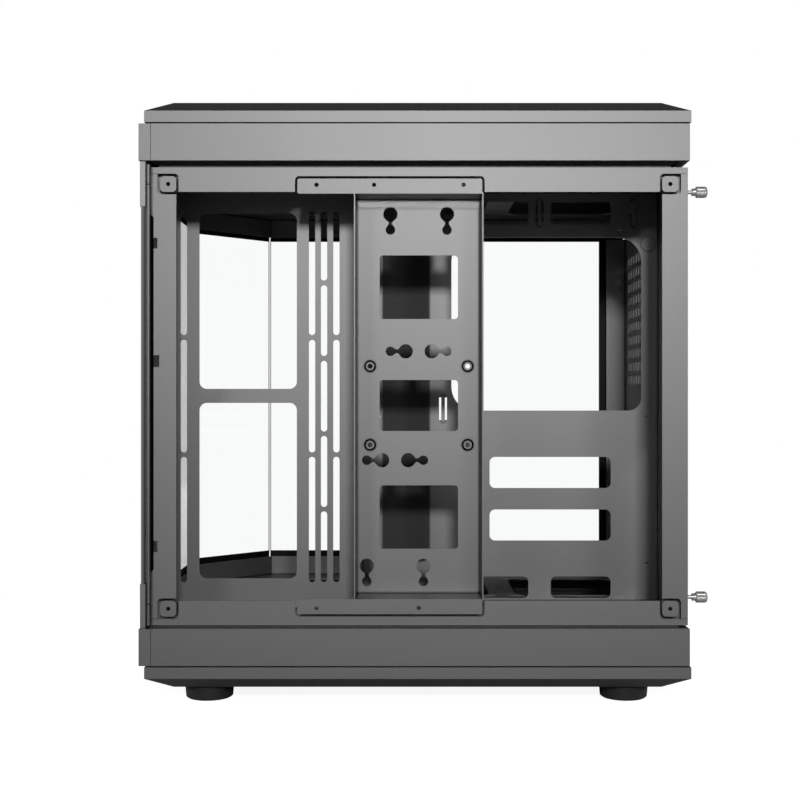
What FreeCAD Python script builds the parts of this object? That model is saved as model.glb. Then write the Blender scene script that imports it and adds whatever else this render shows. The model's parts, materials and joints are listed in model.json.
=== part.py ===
import FreeCAD, Part
import os
import types
import Sketcher

# A dual-chamber tower computer case with its right side panel off.
# Sizes run from the front trim face along X, from the open right side along Y and from the floor along Z.
# The finished case stands with its middle on the origin.

doc = FreeCAD.newDocument("computer_case")

# Driving sizes in millimetres
SIZES = {
    # Outer body
    "case_length": "417.4",
    "case_width": "290",
    "corner_leg": "65",
    "foot_height": "12.3",
    "bevel_height": "10.3",
    "bevel_inset": "19",
    "strip_height": "8.7",
    "seam_gap": "1",
    "band_height": "28",
    "bottom_groove": "1.6",
    "top_groove": "4",
    "chassis_height": "349.2",
    # Sheet metal chassis
    "sheet": "1",
    "rail_height": "18.7",
    "rail_depth": "7",
    "front_setback": "7.7",
    "glass_setback": "11.25",
    "post_width": "19.6",
    "joint_drop": "4.8",
    "joint_strip": "5.3",
    "joint_radius": "3.2",
    "joint_gap": "1.8",
    "notch_low": "102",
    "notch_high": "375.5",
    "notch_depth": "2.3",
    "gusset_size": "34",
    "cup_depth": "5",
    "fit_gap": "0.3",
    "screw_hole_radius": "1.6",
    "recess_left": "117.8",
    "recess_right": "262.4",
    "recess_drop": "6.7",
    # Tray, with the board part's places measured forwards from the rear face
    "fan_part_depth": "75.9",
    "tray_depth": "115.25",
    "board_part": "253.4",
    "fan_window_left": "33.3",
    "fan_window_end": "51",
    "fan_window_height": "143.4",
    "fan_window_low": "87.9",
    "fan_window_high": "242.8",
    "fan_window_radius": "6",
    "fan_slot_half": "2.6",
    "cooler_front": "176.7",
    "cooler_rear": "15.6",
    "cooler_low": "224.7",
    "cooler_high": "371.3",
    "cooler_radius": "20",
    "cooler_small_radius": "11",
    "cable_front": "144.3",
    "cable_rear": "41.5",
    "cable_height": "26.4",
    "cable_low": "114.3",
    "cable_high": "158.9",
    "cable_radius": "4.7",
    "edge_cut_height": "21",
    "grommet_front": "231.9",
    "grommet_rear": "198.5",
    "grommet_low": "100",
    "grommet_high": "366",
    "grommet_radius": "4",
    "grommet_rim": "2.5",
    "slit_width": "0.8",
    "board_row": "377.1",
    "board_edge": "11.2",
    "standoff_height": "6.5",
    "standoff_radius": "3",
    "thread_radius": "1.25",
    # Drive bracket
    "bracket_left": "162.7",
    "bracket_right": "261.6",
    "bracket_depth": "35.25",
    "bracket_window_left": "181.7",
    "bracket_window_right": "243.2",
    "bracket_window_radius": "2.8",
    "key_radius": "5.6",
    "key_slot_radius": "3.7",
    # Rear panel
    "slot_pitch": "20.32",
    "first_slot": "214.9",
    "slot_opening": "14",
    "slot_near": "121",
    "slot_reach": "106",
    "cover_width": "18.4",
    "io_low": "226.5",
    "io_height": "158.75",
    "io_near": "121",
    "io_width": "44.45",
    "fan_centre_depth": "221",
    "fan_centre_height": "309",
    "fan_pitch": "105",
    "fan_hole_radius": "2.2",
    "vent_pitch": "12.6",
    "vent_half_width": "2.9",
    "vent_half_height": "5.4",
    "supply_near": "14",
    "supply_low": "66",
    # Roof and floor fan places
    "roof_fan_first": "105",
    "roof_fan_pitch": "121",
    "roof_fan_depth": "197",
    "roof_window": "98",
    "roof_slot": "112",
    # Trim bands
    "band_wall": "1.2",
    "band_return": "13",
    "band_lip_depth": "7",
    "band_end": "9",
    # Cap and pan
    "cap_setback": "4.2",
    "cap_overhang": "1.1",
    "cap_skin": "3",
    "cap_rim": "21.5",
    "vent_front": "60",
    "vent_rear": "388",
    "vent_near": "52",
    "vent_far": "240",
    "vent_ledge": "6",
    "vent_corner": "6",
    "mesh_thickness": "1.2",
    "filter_front": "100",
    "filter_rear": "350",
    "filter_near": "66",
    "filter_far": "222",
    # Feet
    "foot_radius": "19.25",
    "foot_front": "47.3",
    "foot_rear": "374",
    "foot_near": "42",
    "foot_far": "246",
    "foot_corner_front": "78",
    "foot_corner_far": "238",
    # Glass
    "glass_gap": "1.6",
    "glass_thickness": "4",
    "glass_edge": "1",
    "glass_joint": "0.3",
    "clip_wall": "0.6",
    "clip_height": "34",
    "clip_reach": "14",
    # Screws
    "thumb_reach": "15",
    "thumb_head_radius": "4.35",
    "thumb_place": "9",
    "band_screw_radius": "4",
    "band_screw_place": "11",
    # Front connections
    "io_line": "41",
    "power_place": "46",
    "power_radius": "6.5",
    "reset_place": "66",
    "reset_radius": "3",
    "button_travel_room": "2",
    "audio_place": "82",
    "audio_radius": "3.6",
    "type_c_place": "98",
    "usb_first_place": "117",
    "usb_second_place": "139",
    "usb_length": "13.6",
    "usb_width": "6",
}
sheet = doc.addObject("Spreadsheet::Sheet", "sizes")
for row, (alias, number) in enumerate(SIZES.items(), 1):
    sheet.set("A%d" % row, alias)
    sheet.set("B%d" % row, number)
    sheet.setAlias("B%d" % row, alias)
doc.recompute()


class Size:
    """A sheet value or a sum of sheet values: its formula and its present number."""

    def __init__(self, formula, number):
        self.formula = formula
        self.number = number

    def __add__(self, other):
        other = as_size(other)
        return Size("(%s + %s)" % (self.formula, other.formula), self.number + other.number)

    def __sub__(self, other):
        other = as_size(other)
        return Size("(%s - %s)" % (self.formula, other.formula), self.number - other.number)

    def __mul__(self, factor):
        factor = as_size(factor)
        return Size("(%s * %s)" % (self.formula, factor.formula), self.number * factor.number)

    def __truediv__(self, divisor):
        return Size("(%s / %s)" % (self.formula, divisor), self.number / divisor)

    __radd__ = __add__
    __rmul__ = __mul__


def as_size(value):
    if isinstance(value, Size):
        return value
    return Size("(%r)" % float(value), float(value))


of = types.SimpleNamespace(**{alias: Size("sizes." + alias, float(sheet.get(alias))) for alias in SIZES})

# Heights of the stack, from the floor up
pan_top = of.foot_height + of.bevel_height + of.strip_height
low_band = pan_top + of.seam_gap
chassis_low = low_band + of.band_height + of.bottom_groove
chassis_top = chassis_low + of.chassis_height
high_band = chassis_top + of.top_groove
cap_low = high_band + of.band_height + of.seam_gap
cap_top = cap_low + of.strip_height + of.bevel_height

# Faces that several pieces share
rear_in = of.case_length - of.sheet
rail_back = of.rail_depth + of.sheet
front_back = of.front_setback + of.sheet
floor_top = chassis_low + of.sheet
roof_under = chassis_top - of.sheet
rails_low = chassis_low + of.rail_height
rails_high = chassis_top - of.rail_height
shift_x = (of.case_length + of.thumb_reach) / -2
shift_y = of.case_width / -2
ROOT_TWO = 1.41421356


def bind(thing, path, size):
    thing.setExpression(path, as_size(size).formula)


def new_body(label):
    body = doc.addObject("PartDesign::Body", label)
    bind(body, "Placement.Base.x", shift_x)
    bind(body, "Placement.Base.y", shift_y)
    return body


def new_sketch(body, plane, level):
    """A sketch on a plane of the body: flat at a height, side at a depth or rear at a length."""
    role = {"flat": "XY_Plane", "side": "XZ_Plane", "rear": "YZ_Plane"}[plane]
    support = [feature for feature in body.Origin.OriginFeatures if feature.Role == role][0]
    sketch = body.newObject("Sketcher::SketchObject", "sketch")
    sketch.AttachmentSupport = [(support, "")]
    sketch.MapMode = "FlatFace"
    level = as_size(level)
    if plane == "side":
        level = level * -1
    sketch.AttachmentOffset = FreeCAD.Placement(FreeCAD.Vector(0, 0, level.number), FreeCAD.Rotation())
    bind(sketch, "AttachmentOffset.Base.z", level)
    return sketch


def place_points(sketch, points):
    """Dimensions from the sketch origin to points, each point being (curve, end, x, y)."""
    rules = []
    formulas = []
    for curve, end, x, y in points:
        rules.append(Sketcher.Constraint("DistanceX", -1, 1, curve, end, as_size(x).number))
        rules.append(Sketcher.Constraint("DistanceY", -1, 1, curve, end, as_size(y).number))
        formulas += [as_size(x).formula, as_size(y).formula]
    for index, formula in zip(sketch.addConstraint(rules), formulas):
        sketch.setExpression("Constraints[%d]" % index, formula)


def polygon(sketch, corners):
    vectors = [FreeCAD.Vector(as_size(x).number, as_size(y).number, 0) for x, y in corners]
    count = len(vectors)
    lines = [Part.LineSegment(vectors[i], vectors[(i + 1) % count]) for i in range(count)]
    first = sketch.addGeometry(lines, False)[0]
    sketch.addConstraint([Sketcher.Constraint("Coincident", first + i, 2, first + (i + 1) % count, 1)
                          for i in range(count)])
    place_points(sketch, [(first + i, 1, x, y) for i, (x, y) in enumerate(corners)])


def rectangle(sketch, left, low, right, high):
    polygon(sketch, [(left, low), (right, low), (right, high), (left, high)])


def arc(x, y, radius, start):
    centre = FreeCAD.Vector(x.number, y.number, 0)
    circle = Part.Circle(centre, FreeCAD.Vector(0, 0, 1), radius.number)
    quarter = 1.5707963267948966
    return circle, start * quarter


def rounded(sketch, left, low, right, high, radius):
    """A rectangle with round corners: one radius, or four from the lower right round to the lower left."""
    left, low, right, high = [as_size(size) for size in (left, low, right, high)]
    radii = [as_size(size) for size in (radius if isinstance(radius, tuple) else (radius,) * 4)]
    centres = [(right - radii[0], low + radii[0]), (right - radii[1], high - radii[1]),
               (left + radii[2], high - radii[2]), (left + radii[3], low + radii[3])]
    arcs = []
    for quarter, (x, y) in enumerate(centres):
        circle, start = arc(x, y, radii[quarter], quarter - 1)
        arcs.append(Part.ArcOfCircle(circle, start, start + 1.5707963267948966))
    first = sketch.addGeometry(arcs, False)[0]
    lines = []
    for i in range(4):
        lines.append(Part.LineSegment(arcs[i].EndPoint, arcs[(i + 1) % 4].StartPoint))
    sides = sketch.addGeometry(lines, False)[0]
    rules = []
    for i in range(4):
        rules.append(Sketcher.Constraint("Tangent", first + i, 2, sides + i, 1))
        rules.append(Sketcher.Constraint("Tangent", sides + i, 2, first + (i + 1) % 4, 1))
    sketch.addConstraint(rules)
    for i, size in enumerate(radii):
        index = sketch.addConstraint(Sketcher.Constraint("Radius", first + i, size.number))
        sketch.setExpression("Constraints[%d]" % index, size.formula)
    place_points(sketch, [(first + i, 3, x, y) for i, (x, y) in enumerate(centres)])


def slot(sketch, x1, y1, x2, y2, radius):
    """A round-ended slot between two centres, upright or level."""
    x1, y1, x2, y2, radius = [as_size(size) for size in (x1, y1, x2, y2, radius)]
    turn = 0 if abs(x2.number - x1.number) < 0.001 else -1
    half = 3.141592653589793
    circle, start = arc(x2, y2, radius, turn)
    far = Part.ArcOfCircle(circle, start, start + half)
    circle, start = arc(x1, y1, radius, turn + 2)
    near = Part.ArcOfCircle(circle, start, start + half)
    first = sketch.addGeometry([far, near, Part.LineSegment(far.EndPoint, near.StartPoint),
                                Part.LineSegment(near.EndPoint, far.StartPoint)], False)[0]
    sketch.addConstraint([Sketcher.Constraint("Tangent", first, 2, first + 2, 1),
                          Sketcher.Constraint("Tangent", first + 2, 2, first + 1, 1),
                          Sketcher.Constraint("Tangent", first + 1, 2, first + 3, 1),
                          Sketcher.Constraint("Tangent", first + 3, 2, first, 1)])
    index = sketch.addConstraint(Sketcher.Constraint("Radius", first, radius.number))
    sketch.setExpression("Constraints[%d]" % index, radius.formula)
    place_points(sketch, [(first, 3, x2, y2), (first + 1, 3, x1, y1)])


def circle(sketch, x, y, radius):
    x, y, radius = as_size(x), as_size(y), as_size(radius)
    round_edge = Part.Circle(FreeCAD.Vector(x.number, y.number, 0), FreeCAD.Vector(0, 0, 1), radius.number)
    index = sketch.addGeometry(round_edge, False)
    rule = sketch.addConstraint(Sketcher.Constraint("Radius", index, radius.number))
    sketch.setExpression("Constraints[%d]" % rule, radius.formula)
    place_points(sketch, [(index, 3, x, y)])


def pad(body, sketch, length):
    """Material from the sketch upwards, towards the glass side or towards the rear."""
    feature = body.newObject("PartDesign::Pad", "pad")
    feature.Profile = sketch
    feature.AllowMultiFace = True
    bind(feature, "Length", length)
    feature.Reversed = sketch.AttachmentSupport[0][0].Role == "XZ_Plane"
    return feature


def cut(body, sketch, depth):
    """A cut to half the depth on both sides of the sketch."""
    feature = body.newObject("PartDesign::Pocket", "cut")
    feature.Profile = sketch
    feature.AllowMultiFace = True
    feature.SideType = "Symmetric"
    bind(feature, "Length", depth)
    return feature


def grid(body, feature, along, steps, across, rows):
    """The same cut in rows: along and across are (sketch axis, spacing)."""
    pattern = body.newObject("PartDesign::LinearPattern", "grid")
    pattern.Originals = [feature]
    pattern.Direction = (feature.Profile[0], [along[0]])
    bind(pattern, "Length", as_size(along[1]) * (steps - 1))
    pattern.Occurrences = steps
    pattern.Direction2 = (feature.Profile[0], [across[0]])
    bind(pattern, "Length2", as_size(across[1]) * (rows - 1))
    pattern.Occurrences2 = rows
    body.Tip = pattern
    return pattern


def turned(body, plane, level, profile, start, end):
    """A full turn of a profile about the axis from start to end, both given in the sketch."""
    sketch = new_sketch(body, plane, level)
    polygon(sketch, profile)
    points = [FreeCAD.Vector(as_size(x).number, as_size(y).number, 0) for x, y in (start, end)]
    axis = sketch.addGeometry(Part.LineSegment(points[0], points[1]), True)
    place_points(sketch, [(axis, 1) + start, (axis, 2) + end])
    feature = body.newObject("PartDesign::Revolution", "turned")
    feature.Profile = sketch
    feature.ReferenceAxis = (sketch, ["Axis0"])
    feature.Angle = 360
    return feature


def plan(front, corner, left, right, rear):
    """Corners of a floor plan set in from the case outline: front right, rear right, rear left, corner."""
    cut_sum = of.corner_leg + as_size(corner) * ROOT_TWO
    return [(front, right), (rear, right), (rear, of.case_width - left),
            (cut_sum - left, of.case_width - left), (front, of.case_width - cut_sum + front)]


def strip(outer, inner):
    return outer + inner[::-1]


def level_from(end, drop):
    """A height measured inwards from the roof or from the floor of the chassis."""
    return chassis_top - drop if end == "top" else chassis_low + drop


# Roof and floor of the chassis: one sheet each, with rails turned over on the right, front, corner and left.
# The rail's ends are notched for the corner joints and its middle is set back for the drive bracket.
def chassis_plate(label, end):
    body = new_body(label)
    outer = plan(of.front_setback, of.glass_setback, of.glass_setback, of.rail_depth, rear_in)
    inset = of.glass_setback + of.sheet
    inner = plan(front_back, inset, inset, rail_back, rear_in)
    plate = new_sketch(body, "flat", roof_under if end == "top" else chassis_low)
    polygon(plate, outer)
    pad(body, plate, of.sheet)
    rails = new_sketch(body, "flat", rails_high if end == "top" else chassis_low)
    path = [1, 0, 4, 3, 2]
    polygon(rails, strip([outer[i] for i in path], [inner[i] for i in path]))
    pad(body, rails, of.rail_height)
    joints = new_sketch(body, "side", of.rail_depth + of.sheet / 2)
    edge = level_from(end, of.rail_height + of.joint_radius + 1)
    top = level_from(end, of.joint_drop)
    notch = of.post_width + of.joint_gap
    past = of.joint_radius + 1
    low, high = sorted((edge, top), key=lambda size: size.number)
    rounded(joints, of.front_setback - past, low, of.front_setback + notch, high, of.joint_radius)
    rounded(joints, of.case_length - notch, low, of.case_length + past, high, of.joint_radius)
    cut(body, joints, of.sheet * 4 + 0.4)
    recess = new_sketch(body, "side", of.rail_depth + of.sheet / 2)
    low, high = sorted((edge, level_from(end, of.recess_drop)), key=lambda size: size.number)
    rounded(recess, of.recess_left, low, of.recess_right, high, of.joint_radius)
    cut(body, recess, of.sheet * 1.6)
    seat = new_sketch(body, "rear", of.recess_left + of.joint_gap * 2)
    step = of.recess_drop + of.joint_gap * 2
    hanger = rail_back + of.cup_depth
    polygon(seat, [(across, level_from(end, drop)) for across, drop in
                   ((rail_back, of.rail_height), (rail_back + of.sheet, of.rail_height),
                    (rail_back + of.sheet, step + of.sheet), (hanger + of.sheet, step + of.sheet),
                    (hanger + of.sheet, of.sheet), (hanger, of.sheet), (hanger, step), (rail_back, step))])
    pad(body, seat, of.recess_right - of.recess_left - of.joint_gap * 4)
    screws = new_sketch(body, "side", rail_back + of.sheet / 2)
    for place in bracket_holes(end):
        circle(screws, place, level_from(end, of.rail_height - 5.4), of.thread_radius)
    cut(body, screws, of.sheet * 3)
    fans = new_sketch(body, "flat", level_from(end, of.sheet / 2))
    for number in range(3):
        middle = of.roof_fan_first + of.roof_fan_pitch * number
        half = of.roof_window / 2
        rounded(fans, middle - half, of.roof_fan_depth - half, middle + half, of.roof_fan_depth + half, 12)
        for side in (-0.5, 0.5):
            depth = of.roof_fan_depth + of.fan_pitch * side
            reach = of.roof_slot / 2 - of.fan_hole_radius
            slot(fans, middle - reach, depth, middle + reach, depth, of.fan_hole_radius)
    cut(body, fans, of.sheet * 3)
    return body


def bracket_holes(end):
    if end == "top":
        return [of.recess_left + 16.5, of.recess_left + 60.3, of.recess_left + 128.6]
    return [of.recess_left + 94.3, of.recess_left + 16.5]


chassis_plate("top_chassis_plate", "top")
chassis_plate("bottom_chassis_plate", "bottom")


# Rear panel: one sheet with a post folded forwards on each side
panel = new_body("rear_panel")
sketch = new_sketch(panel, "rear", rear_in)
glass_face = of.case_width - of.glass_gap - of.glass_thickness
rectangle(sketch, of.rail_depth, chassis_low, glass_face - of.fit_gap, chassis_top)
pad(panel, sketch, of.sheet)
post_low = rails_low + of.joint_gap
post_high = rails_high - of.joint_gap
strip_low = chassis_low + of.joint_drop + of.fit_gap
strip_high = chassis_top - of.joint_drop - of.fit_gap
sketch = new_sketch(panel, "side", of.rail_depth)
post_edge = of.case_length - of.post_width
strip_edge = of.case_length - of.joint_strip
rectangle(sketch, post_edge, strip_low, of.case_length, strip_high)
pad(panel, sketch, of.sheet)
past = of.joint_radius + 1
sketch = new_sketch(panel, "side", of.rail_depth + of.sheet / 2)
rounded(sketch, post_edge - past, post_high, strip_edge, strip_high + past, of.joint_radius)
rounded(sketch, post_edge - past, strip_low - past, strip_edge, post_low, of.joint_radius)
cut(panel, sketch, of.sheet * 2)
sketch = new_sketch(panel, "side", of.case_width - of.glass_setback - of.sheet)
rectangle(sketch, post_edge, post_low, of.case_length, post_high)
pad(panel, sketch, of.sheet)
# Board connector aperture, expansion slots and their screw holes
sketch = new_sketch(panel, "rear", rear_in + of.sheet / 2)
rounded(sketch, of.io_near, of.io_low, of.io_near + of.io_width, of.io_low + of.io_height, 1.5)
slot_far = of.slot_near + of.slot_reach
cover_screw = slot_far + 8
for number in range(7):
    middle = of.first_slot - of.slot_pitch * number
    half = of.slot_opening / 2
    rectangle(sketch, of.slot_near, middle - half, slot_far, middle + half)
    circle(sketch, cover_screw, middle, of.screw_hole_radius + of.fit_gap)
cut(panel, sketch, of.sheet * 3)
# Fan vent with its four screw holes
sketch = new_sketch(panel, "rear", rear_in + of.sheet / 2)
left = of.fan_centre_depth - of.vent_pitch * 3
low = of.fan_centre_height - of.vent_pitch * 4.5
polygon(sketch, [(left + of.vent_half_width * across, low + of.vent_half_height * up) for across, up in
                 ((1, 0.7), (0, 1), (-1, 0.7), (-1, -0.7), (0, -1), (1, -0.7))])
vent = cut(panel, sketch, of.sheet * 3)
grid(panel, vent, ("H_Axis", of.vent_pitch), 7, ("V_Axis", of.vent_pitch), 10)
sketch = new_sketch(panel, "rear", rear_in + of.sheet / 2)
for across in (-0.5, 0.5):
    for up in (-0.5, 0.5):
        circle(sketch, of.fan_centre_depth + of.fan_pitch * across, of.fan_centre_height + of.fan_pitch * up,
               of.fan_hole_radius)
# Power supply opening with its four screw holes, the supply standing on its side
rounded(sketch, of.supply_near + 12, of.supply_low + 12, of.supply_near + 74, of.supply_low + 138, 8)
for across, up in ((80, 6), (80, 144), (16, 6), (6, 120)):
    circle(sketch, of.supply_near + across, of.supply_low + up, of.screw_hole_radius + of.fit_gap)
cut(panel, sketch, of.sheet * 3)


# Front right post: a side face with hook slots and a deep front wall that closes the cable chamber
post = new_body("front_right_post")
sketch = new_sketch(post, "side", of.rail_depth)
face_edge = of.front_setback + of.post_width
strip_edge = of.front_setback + of.joint_strip
rectangle(sketch, of.front_setback, strip_low, face_edge, strip_high)
pad(post, sketch, of.sheet)
sketch = new_sketch(post, "side", of.rail_depth + of.sheet / 2)
rounded(sketch, strip_edge, post_high, face_edge + past, strip_high + past, of.joint_radius)
rounded(sketch, strip_edge, strip_low - past, face_edge + past, post_low, of.joint_radius)
cut(post, sketch, of.sheet * 2)
sketch = new_sketch(post, "rear", of.front_setback)
rectangle(sketch, of.rail_depth, rails_low, of.fan_part_depth + of.sheet, rails_high)
pad(post, sketch, of.sheet)
sketch = new_sketch(post, "side", of.rail_depth + of.sheet / 2)
for low, high, reach in ((117.8, 126.2, 5.2), (258.9, 268, 6.6), (349.3, 357.4, 5.2)):
    rectangle(sketch, of.front_setback + of.notch_depth / 2, as_size(low), of.front_setback + reach, as_size(high))
cut(post, sketch, of.sheet * 2)
# A long notch in its front edge, with a rubber seal in it
edge = of.front_setback
deep = edge + of.notch_depth
sketch = new_sketch(post, "side", of.rail_depth + of.sheet / 2)
polygon(sketch, [(edge - 1, of.notch_low), (edge, of.notch_low), (deep, of.notch_low + of.notch_depth),
                 (deep, of.notch_high - of.notch_depth), (edge, of.notch_high), (edge - 1, of.notch_high)])
cut(post, sketch, of.sheet)
seal = new_body("glass_seal")
sketch = new_sketch(seal, "side", rail_back - of.sheet * 0.8)
room = of.fit_gap / 2
polygon(sketch, [(edge + room, of.notch_low + room * 3), (deep - room, of.notch_low + of.notch_depth + room),
                 (deep - room, of.notch_high - of.notch_depth - room), (edge + room, of.notch_high - room * 3)])
pad(seal, sketch, of.sheet * 0.8)


# Motherboard tray: one joggled sheet, the side fan part nearer the open side than the board part
step_place = of.case_length - of.board_part
fan_window_right = step_place - of.fan_window_end
cooler_left = of.case_length - of.cooler_front
cooler_right = of.case_length - of.cooler_rear
cable_left = of.case_length - of.cable_front
cable_right = of.case_length - of.cable_rear
grommet_left = of.case_length - of.grommet_front
grommet_right = of.case_length - of.grommet_rear
board_column = of.case_length - of.board_edge
tray = new_body("motherboard_tray")
sketch = new_sketch(tray, "flat", floor_top)
polygon(sketch, [(front_back, of.fan_part_depth), (step_place + of.sheet, of.fan_part_depth),
                 (step_place + of.sheet, of.tray_depth), (rear_in, of.tray_depth),
                 (rear_in, of.tray_depth + of.sheet), (step_place, of.tray_depth + of.sheet),
                 (step_place, of.fan_part_depth + of.sheet), (front_back, of.fan_part_depth + of.sheet)])
pad(tray, sketch, roof_under - floor_top)
# Two fan windows with columns of screw slots beside them
sketch = new_sketch(tray, "side", of.fan_part_depth + of.sheet / 2)
for low in (of.fan_window_low, of.fan_window_high):
    rounded(sketch, of.fan_window_left, low, fan_window_right, low + of.fan_window_height,
            of.fan_window_radius)
slot_places = [of.fan_window_left - 12.7, fan_window_right + 12.4, fan_window_right + 32.3]
for place in slot_places:
    for low, high in ((84.7, 187.2), (190.8, 282.9), (286.8, 388.2)):
        slot(sketch, place, low + of.fan_slot_half, place, as_size(high) - of.fan_slot_half, of.fan_slot_half)
for low, high in ((84.9, 142.6), (146.2, 204.3), (207.9, 265.7), (269.7, 327.5), (331.4, 388.2)):
    place = fan_window_right + 22.2
    slot(sketch, place, low + of.fan_slot_half, place, as_size(high) - of.fan_slot_half, of.fan_slot_half)
cut(tray, sketch, of.sheet * 3)
# Cooler cut-out, cable slots, edge cuts and the grommet's opening in the board part
sketch = new_sketch(tray, "side", of.tray_depth + of.sheet / 2)
wide = of.cooler_radius
rounded(sketch, cooler_left, of.cooler_low, cooler_right, of.cooler_high,
        (of.cooler_small_radius, wide, wide, wide))
for low in (of.cable_low, of.cable_high):
    rounded(sketch, cable_left, low, cable_right, low + of.cable_height, of.cable_radius)
rounded(sketch, grommet_left, of.grommet_low, grommet_right, of.grommet_high, of.grommet_radius)
for left, right in ((182.4, 111.4), (92.4, 41.5)):
    start, end = of.case_length - left, of.case_length - right
    rounded(sketch, start, floor_top + 2.6, end, floor_top + of.edge_cut_height, of.cable_radius)
    rounded(sketch, start, roof_under - 27.4, end, roof_under - 8.3, 2)
bridges = [(of.case_length - 105.3, roof_under - 27.4), (of.case_length - 25.5, roof_under - 27.4),
           (of.case_length - 187.2, of.cooler_low - 8)]
for left, low in bridges:
    rectangle(sketch, left, low, left + 6.7, low + 19.1)
cut(tray, sketch, of.sheet * 3)
# Cable tie straps pressed out over the small windows, and one round boss
sketch = new_sketch(tray, "side", of.tray_depth - 1.2)
for left, low in bridges:
    rectangle(sketch, left + 1.8, low - 1.5, left + 4.9, low + 20.6)
pad(tray, sketch, as_size(1.2))
sketch = new_sketch(tray, "side", of.tray_depth - 0.6)
circle(sketch, board_column + 1.4, of.board_row - 11, 6)
pad(tray, sketch, as_size(0.6))
# Notches for the feet of expansion cards, and the standoffs' holes
sketch = new_sketch(tray, "side", of.tray_depth + of.sheet / 2)
for number in range(7):
    middle = of.first_slot - of.slot_pitch * number
    rectangle(sketch, rear_in - 2.2, middle - 9.2, rear_in + 1, middle + 9.2)
board_rows = [of.board_row, of.board_row - 157.48, of.board_row - 281.94]
board_columns = [board_column, board_column - 154.94, board_column - 227.33]
board_places = [(board_column - 22.86, board_rows[0])]
board_places += [(place, board_rows[0]) for place in board_columns[1:]]
board_places += [(place, height) for height in board_rows[1:] for place in board_columns]
for place, height in board_places:
    circle(sketch, place, height, of.thread_radius)
cut(tray, sketch, of.sheet * 2.6)

# Brass standoffs that carry the board on the glass side of the tray
standoffs = new_body("standoffs")
sketch = new_sketch(standoffs, "side", of.tray_depth + of.sheet)
for place, height in board_places:
    circle(sketch, place, height, of.standoff_radius)
    circle(sketch, place, height, of.thread_radius)
pad(standoffs, sketch, of.standoff_height)

# Rubber grommet pressed into its opening, with a rim on each side of the sheet and a scored web
grommet = new_body("cable_grommet")
edge = of.fit_gap / 2
sketch = new_sketch(grommet, "side", of.tray_depth - 1.5)
rounded(sketch, grommet_left + edge, of.grommet_low + edge, grommet_right - edge,
        of.grommet_high - edge, of.grommet_radius)
pad(grommet, sketch, of.sheet + 3)
for place in (of.tray_depth - 1.5, of.tray_depth + of.sheet):
    sketch = new_sketch(grommet, "side", place)
    rim = of.grommet_rim
    rounded(sketch, grommet_left - rim, of.grommet_low - rim, grommet_right + rim,
            of.grommet_high + rim, of.grommet_radius + rim)
    pad(grommet, sketch, as_size(1.5))
for place in (of.tray_depth - 1.5, of.tray_depth + of.sheet + 1.5):
    sketch = new_sketch(grommet, "side", place)
    rounded(sketch, grommet_left + 2, of.grommet_low + 2, grommet_right - 2, of.grommet_high - 2, 2)
    cut(grommet, sketch, as_size(2))
sketch = new_sketch(grommet, "side", of.tray_depth - 0.5)
middle = (grommet_left + grommet_right) / 2 + 2
rectangle(sketch, middle, of.grommet_low + 6, middle + of.slit_width, of.grommet_high - 6)
cut(grommet, sketch, as_size(1.2))
sketch = new_sketch(grommet, "side", of.tray_depth - 0.5)
rectangle(sketch, grommet_left + 2.8, of.grommet_low + 14, grommet_left + 9.6,
          of.grommet_low + 14 + of.slit_width)
rectangle(sketch, grommet_left + 10.6, of.grommet_low + 24, grommet_left + 16.4,
          of.grommet_low + 24 + of.slit_width)
slits = cut(grommet, sketch, as_size(1.2))
pattern = grommet.newObject("PartDesign::LinearPattern", "slits")
pattern.Originals = [slits]
pattern.Direction = (sketch, ["V_Axis"])
bind(pattern, "Length", of.grommet_high - of.grommet_low - 45)
pattern.Occurrences = 12
grommet.Tip = pattern


# Corner gussets: a plate behind rail and post, with a pressed cup that fills the notch between them
def gusset(label, end, at_rear):
    body = new_body(label)
    if at_rear:
        outer, pad_inner = rear_in, of.case_length - of.post_width
        long_edge, short_edge = pad_inner - 4.7, pad_inner + 3.3
        pad_outer = of.case_length - of.joint_strip - of.joint_gap
    else:
        outer, pad_inner = front_back, of.front_setback + of.post_width
        long_edge, short_edge = pad_inner + 4.7, pad_inner - 3.3
        pad_outer = of.front_setback + of.joint_strip + of.joint_gap
    back = rail_back + of.cup_depth
    sketch = new_sketch(body, "side", back)
    polygon(sketch, [(across, level_from(end, drop)) for across, drop in
                     ((outer, of.sheet), (long_edge, of.sheet), (long_edge, of.rail_height - 2),
                      (short_edge, of.rail_height - 2), (short_edge, of.gusset_size), (outer, of.gusset_size))])
    pad(body, sketch, of.sheet)
    face = rail_back - of.sheet * 0.8
    sketch = new_sketch(body, "side", face)
    low = level_from(end, of.rail_height)
    high = level_from(end, of.joint_drop + of.joint_gap)
    left, right = sorted((pad_outer, pad_inner), key=lambda size: size.number)
    bottom, top = sorted((low, high), key=lambda size: size.number)
    rounded(sketch, left, bottom, right, top, of.joint_radius)
    pad(body, sketch, back + of.sheet / 2 - face)
    sketch = new_sketch(body, "side", back + of.sheet)
    wall = of.sheet
    rounded(sketch, left + wall, bottom + wall, right - wall, top - wall, of.joint_radius - wall)
    cut(body, sketch, (back - face) * 2)
    sketch = new_sketch(body, "side", face)
    circle(sketch, (left + right) / 2, (bottom + top) / 2, of.screw_hole_radius)
    cut(body, sketch, of.sheet * 3)


gusset("corner_gusset_front_top", "top", False)
gusset("corner_gusset_rear_top", "top", True)
gusset("corner_gusset_front_bottom", "bottom", False)
gusset("corner_gusset_rear_bottom", "bottom", True)


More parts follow.
